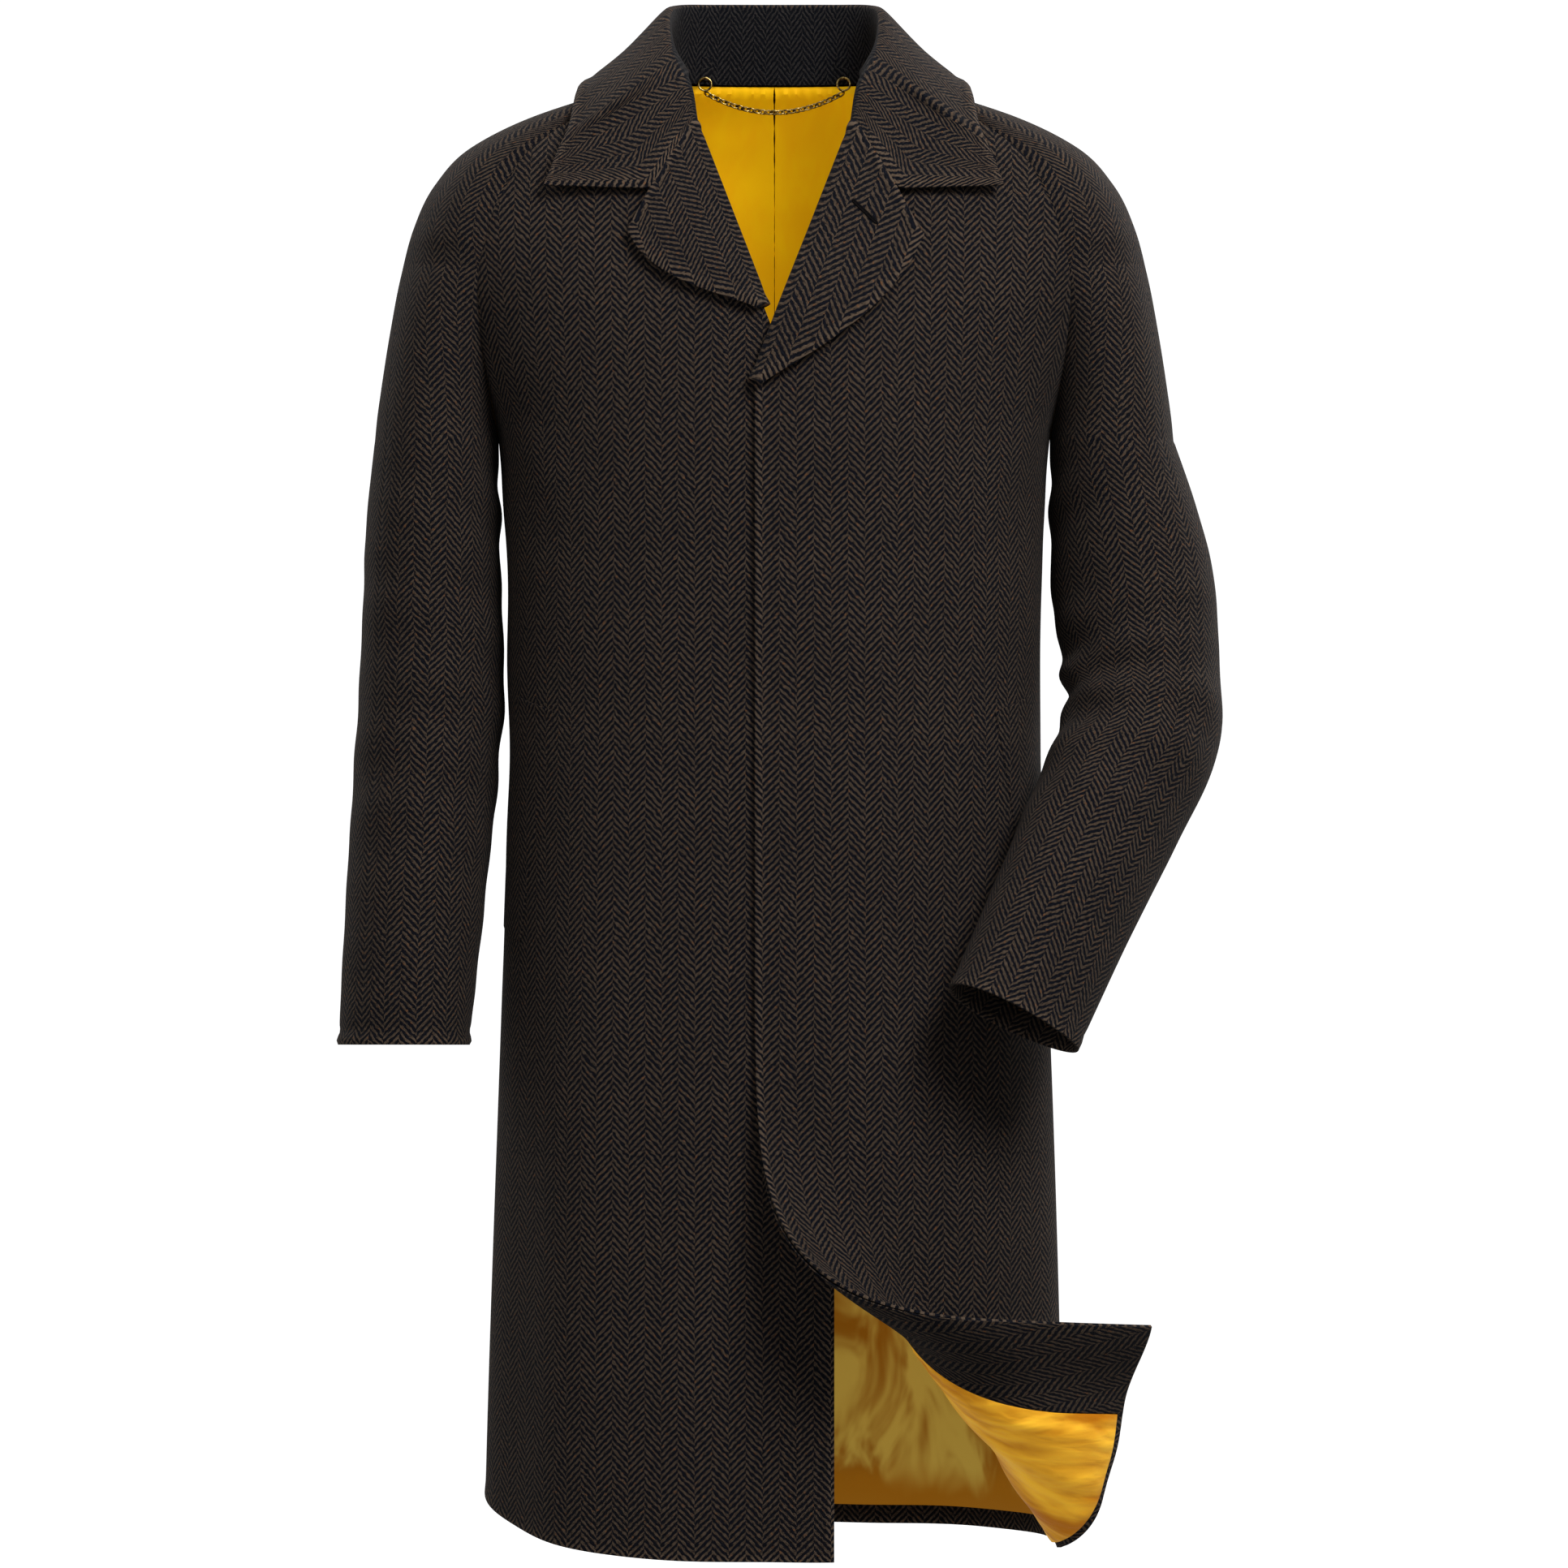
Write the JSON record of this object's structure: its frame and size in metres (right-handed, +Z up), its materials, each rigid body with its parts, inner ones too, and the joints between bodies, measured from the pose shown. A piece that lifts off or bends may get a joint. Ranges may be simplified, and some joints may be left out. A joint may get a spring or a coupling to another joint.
{
  "type": "raglan coat",
  "caption": "Knee-length raglan coat in dark herringbone wool with notched lapels and a satin lining, worn with no wearer inside, one lower front corner turned back.",
  "frame": {"origin": "middle of the neck opening, at the height of the back-neck seam", "axes": "+Z up the coat from hem to collar, -Y out of the front, +X towards the wearer's left"},
  "size_m": [0.6442, 0.3948, 1.1384],
  "materials": {
    "herringbone": "napped herringbone wool",
    "satin": "smooth satin",
    "brass": "aged"
  },
  "bodies": {
    "root": {"back": "herringbone", "collar": "herringbone", "left_facing": "herringbone", "left_front": "herringbone", "left_hanger_tab": "herringbone", "left_lapel": "herringbone", "left_pocket_welt": "herringbone", "left_sleeve_back": "herringbone", "left_sleeve_front": "herringbone", "right_front": "herringbone", "right_hanger_tab": "herringbone", "right_lapel": "herringbone", "right_pocket_welt": "herringbone", "right_sleeve_back": "herringbone", "right_sleeve_front": "herringbone", "left_back_lining": "satin", "left_front_lining": "satin", "right_back_lining": "satin", "hanger_chain": "brass", "left_hanger_ring": "brass", "right_hanger_ring": "brass"}
  },
  "joints": []
}
